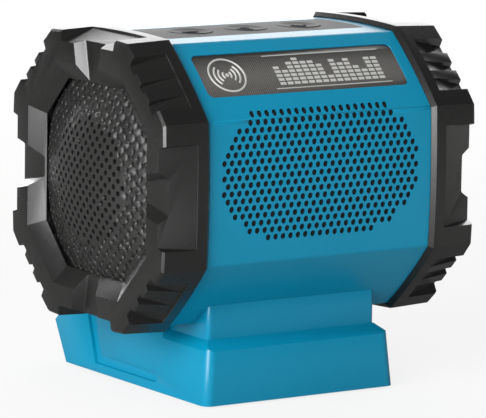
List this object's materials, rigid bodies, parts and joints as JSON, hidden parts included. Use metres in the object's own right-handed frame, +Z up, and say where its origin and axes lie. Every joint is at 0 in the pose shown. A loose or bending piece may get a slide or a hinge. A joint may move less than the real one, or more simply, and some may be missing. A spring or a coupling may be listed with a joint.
{
  "type": "jobsite speaker radio",
  "caption": "Eight-sided jobsite speaker radio with a domed driver grille and rubber bumper at each end, top buttons, a perforated front and a neck on a slide-in battery dock.",
  "frame": {"origin": "centre of the bounding box's underside, on the plane the rubber feet stand on", "axes": "+X along the barrel to the right as seen from the perforated front, +Y towards the back, +Z up"},
  "size_m": [0.1992, 0.1736, 0.193],
  "materials": {
    "blue_plastic": "satin moulded ABS, blue",
    "charcoal_rubber": "satin moulded rubber, charcoal",
    "charcoal_metal": "satin powder coat, charcoal",
    "panel_plastic": "satin, near black",
    "label_film": "woven dark film with silver print",
    "black_plastic": "satin, black",
    "board": "green resist over glass laminate",
    "steel": "zinc plated",
    "magnet_steel": "plated steel cup",
    "aluminium": "satin",
    "contact_metal": "plated contact",
    "cone_paper": "matt, coated paper",
    "soft_rubber": "matt, black",
    "cloth": "woven, black",
    "cell_sleeve": "cell in a plastic sleeve"
  },
  "bodies": {
    "speaker": {"front_housing": "blue_plastic", "rear_housing": "blue_plastic", "housing_screws": "steel", "label_plate": "label_film", "top_panel": "panel_plastic", "key_board": "board", "key_switches": "black_plastic", "key_board_screws": "steel", "acoustic_cloth": "cloth", "radiator_frame": "black_plastic", "radiator_roll": "soft_rubber", "radiator_diaphragm": "aluminium", "radiator_screws": "steel", "main_board": "board", "main_board_screws": "steel", "heat_sink": "aluminium", "capacitors": "aluminium", "signal_module": "steel", "port_board": "board", "port_board_screws": "steel", "audio_socket": "black_plastic", "power_socket": "steel", "port_cover_pin": "steel", "neck": "blue_plastic", "neck_screws": "steel", "deck_screws": "steel", "dock_housing": "blue_plastic", "base_plate": "black_plastic", "base_screws": "steel", "rubber_feet": "soft_rubber", "contact_block": "black_plastic", "contact_blades": "contact_metal", "end_plate_screws": "steel", "driver_screws": "steel", "left_bumper": "charcoal_rubber", "left_grille": "charcoal_metal", "left_end_plate": "black_plastic", "left_driver_frame": "steel", "left_driver_magnet": "magnet_steel", "left_driver_cone": "cone_paper", "left_driver_surround": "soft_rubber", "left_driver_dust_cap": "cone_paper", "right_bumper": "charcoal_rubber", "right_grille": "charcoal_metal", "right_end_plate": "black_plastic", "right_driver_frame": "steel", "right_driver_magnet": "magnet_steel", "right_driver_cone": "cone_paper", "right_driver_surround": "soft_rubber", "right_driver_dust_cap": "cone_paper"},
    "volume_down": {"volume_down_button": "panel_plastic"},
    "power": {"power_button": "panel_plastic"},
    "volume_up": {"volume_up_button": "panel_plastic"},
    "battery": {"battery_case": "black_plastic", "battery_lid": "black_plastic", "battery_clips": "contact_metal", "battery_cells": "cell_sleeve", "release_spring": "steel"},
    "release": {"release_button": "panel_plastic"},
    "port_cover": {"port_cover": "soft_rubber"}
  },
  "joints": [
    {"name": "volume_down_press", "type": "slide", "parent": "speaker", "child": "volume_down", "axis": [0, 0, -1], "range_m": [0, 0.0009], "stiffness_N_per_m": 1200, "springref_m": -0.0008},
    {"name": "power_press", "type": "slide", "parent": "speaker", "child": "power", "axis": [0, 0, -1], "range_m": [0, 0.0009], "stiffness_N_per_m": 1200, "springref_m": -0.0008},
    {"name": "volume_up_press", "type": "slide", "parent": "speaker", "child": "volume_up", "axis": [0, 0, -1], "range_m": [0, 0.0009], "stiffness_N_per_m": 1200, "springref_m": -0.0008},
    {"name": "battery_slide", "type": "slide", "parent": "speaker", "child": "battery", "axis": [0, 1, 0], "range_m": [0, 0.1]},
    {"name": "release_press", "type": "slide", "parent": "battery", "child": "release", "axis": [0, 0, -1], "range_m": [0, 0.0022], "stiffness_N_per_m": 900, "springref_m": -0.0015, "deforming": ["release_spring"]},
    {"name": "port_cover_hinge", "type": "hinge", "parent": "speaker", "child": "port_cover", "pos_m": [0, 0.06385, 0.09295], "axis": [-1, 0, 0], "range_deg": [0, 90]}
  ]
}
